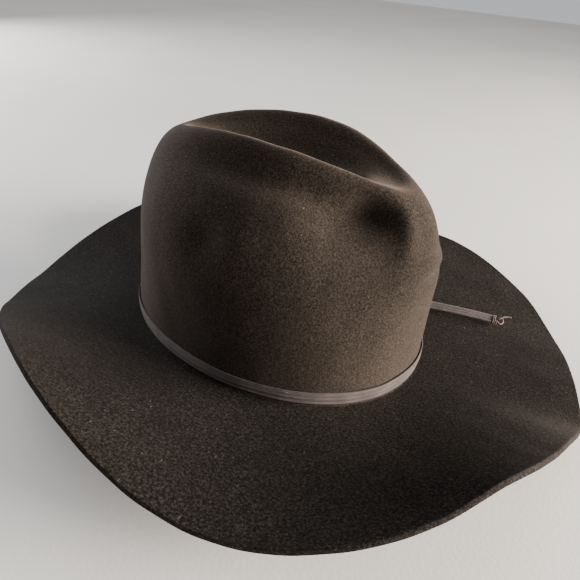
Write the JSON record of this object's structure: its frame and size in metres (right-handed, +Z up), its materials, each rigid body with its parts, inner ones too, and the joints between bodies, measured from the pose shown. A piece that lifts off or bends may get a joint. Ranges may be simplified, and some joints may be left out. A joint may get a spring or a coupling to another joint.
{
  "type": "cowboy hat",
  "caption": "Western felt hat with a creased cattleman crown, a wide turned brim, a narrow two-ply ribbon band with a loose tail, a leather sweatband and a satin lining.",
  "frame": {"origin": "on the table plane under the middle of the hat's outline, at the lowest point of the brim", "axes": "+X to the front of the hat, +Y to the wearer's left, +Z up through the crown"},
  "size_m": [0.4074, 0.379, 0.1533],
  "materials": {
    "felt": "napped dark-brown fur felt, matt",
    "satin": "tan satin lining, soft sheen",
    "leather": "smooth brown sweatband leather",
    "reed": "natural plastic reed",
    "tape": "cotton tape",
    "thread": "brown sewing thread",
    "bow": "dark satin ribbon",
    "label": "blank woven label",
    "ribbon": "mauve-brown grosgrain ribbon",
    "cord": "reddish-brown waxed cord"
  },
  "bodies": {
    "hat": {"felt_body": "felt", "lining_side": "satin", "lining_tip": "satin", "sweatband": "leather", "sweatband_reed": "reed", "reed_tape": "tape", "sweatband_stitches": "thread", "sweatband_seam": "leather", "sweatband_bow": "bow", "sweatband_bow_knot": "bow", "size_label": "label", "hatband_ribbon": "ribbon", "hatband_upper_ply": "ribbon", "band_keeper": "ribbon", "hatband_tacks": "thread"},
    "tail": {"tail_ribbon_outer": "ribbon", "tail_ribbon_inner": "ribbon", "tail_knot": "cord"}
  },
  "joints": [
    {"name": "tail_lift", "type": "hinge", "parent": "hat", "child": "tail", "pos_m": [0.07002, 0.06738, 0.01696], "axis": [0.2011, -0.9796, 0], "range_deg": [0, 60]}
  ]
}
